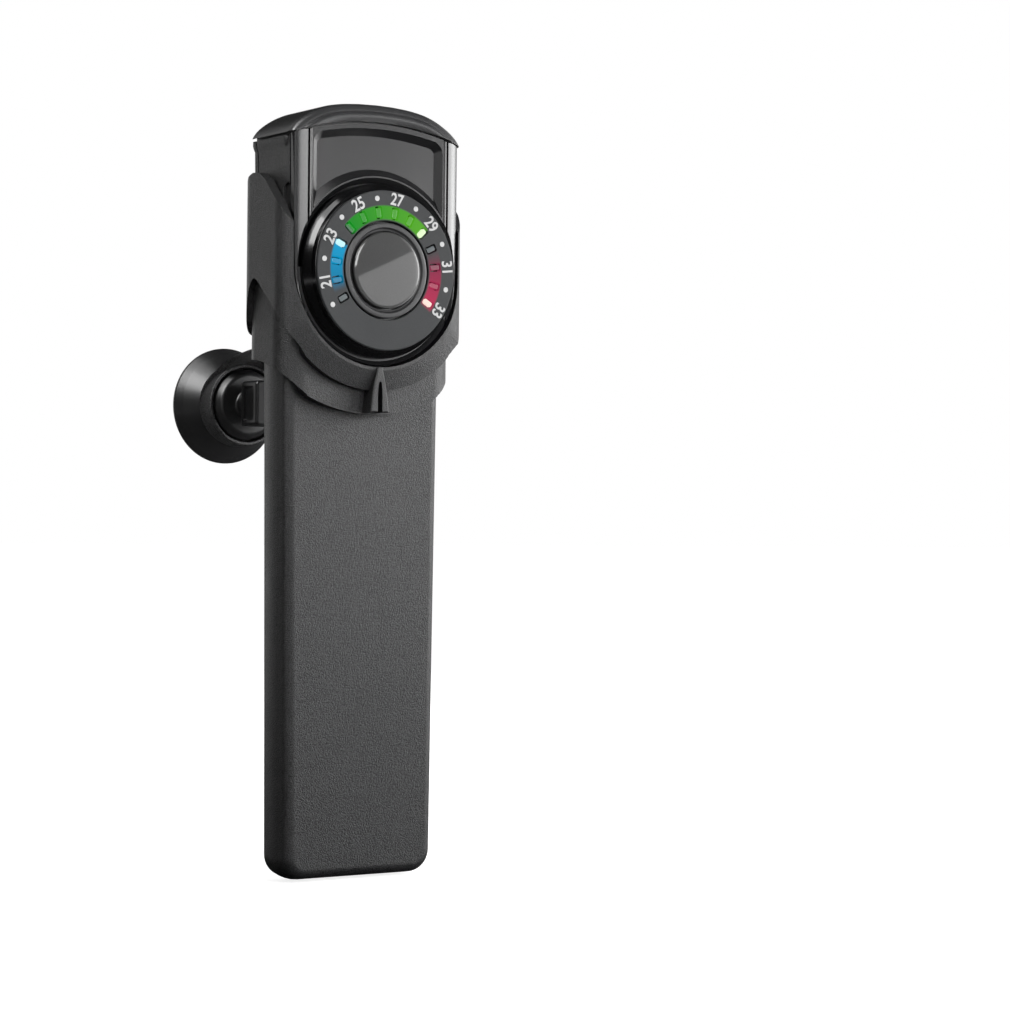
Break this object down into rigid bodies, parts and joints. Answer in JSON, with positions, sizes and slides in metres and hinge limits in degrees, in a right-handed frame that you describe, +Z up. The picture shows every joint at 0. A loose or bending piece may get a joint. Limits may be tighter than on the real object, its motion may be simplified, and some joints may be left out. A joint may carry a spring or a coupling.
{
  "type": "submersible aquarium heater",
  "caption": "Flat plastic aquarium heater with a round lamp dial and push button, held in a sliding hanger collar by a rubber suction cup.",
  "frame": {"origin": "centre of the suction cup's rim, in the plane of the glass it grips", "axes": "+Z up along the heater, +Y into the glass, so the dial faces -Y, +X to the right seen from the dial"},
  "size_m": [0.0366, 0.0583, 0.1334],
  "materials": {
    "grained_plastic": "fine spark-eroded grain, dark grey",
    "gloss_plastic": "moulded gloss, near black",
    "satin_plastic": "satin, dark grey",
    "dial_face": "satin dial plate, dark grey",
    "button_face": "brushed-look satin, mid grey",
    "black_rubber": "smooth soft rubber",
    "clear_lens": "clear diffusing lens",
    "lamp_blue": "small lamp, blue",
    "lamp_green": "small lamp, green",
    "lamp_red": "small lamp, red",
    "dial_print": "white print",
    "circuit_board": "green solder mask",
    "chip_case": "moulded epoxy",
    "capacitor_case": "dipped film",
    "steel": "plated",
    "ceramic": "fired ceramic",
    "mica": "mica sheet",
    "spreader_alloy": "rolled sheet",
    "lead_insulation": "silicone insulation"
  },
  "bodies": {
    "root": {"suction_cup": "black_rubber"},
    "hanger": {"hanger_collar": "grained_plastic", "hanger_arm": "grained_plastic"},
    "heater": {"front_shell": "grained_plastic", "rear_cover": "grained_plastic", "head_fascia": "gloss_plastic", "dial_bezel": "gloss_plastic", "top_cap": "satin_plastic", "dial_plate": "dial_face", "cap_seal": "black_rubber", "cable_gland": "black_rubber", "button_seal": "black_rubber", "light_guide": "clear_lens", "indicator_board": "circuit_board", "control_board": "circuit_board", "board_header": "chip_case", "tact_switch": "chip_case", "microcontroller": "chip_case", "power_triac": "chip_case", "cord_terminal": "chip_case", "dropper_capacitor": "capacitor_case", "board_screw_left": "steel", "board_screw_right": "steel", "thermal_fuse": "steel", "heating_element": "ceramic", "temperature_sensor": "ceramic", "mica_front": "mica", "mica_rear": "mica", "spreader_front": "spreader_alloy", "spreader_rear": "spreader_alloy", "lead_live": "lead_insulation", "lead_fused": "lead_insulation", "lead_neutral": "lead_insulation", "led_20": "lamp_blue", "led_21": "lamp_blue", "led_22": "lamp_blue", "led_23": "lamp_blue", "led_24": "lamp_green", "led_25": "lamp_green", "led_26": "lamp_green", "led_27": "lamp_green", "led_28": "lamp_green", "led_29": "lamp_green", "led_30": "lamp_red", "led_31": "lamp_red", "led_32": "lamp_red", "led_33": "lamp_red"},
    "button": {"set_button": "button_face", "switch_plunger": "steel"}
  },
  "joints": [
    {"name": "hanger_swivel", "type": "hinge", "parent": "root", "child": "hanger", "pos_m": [0, 0, 0], "axis": [0, 1, 0], "continuous": true},
    {"name": "heater_lift", "type": "slide", "parent": "hanger", "child": "heater", "axis": [0, 0, 1], "range_m": [0, 0.09]},
    {"name": "button_press", "type": "slide", "parent": "heater", "child": "button", "axis": [0, 1, 0], "range_m": [0, 0.0006], "stiffness_N_per_m": 400}
  ]
}
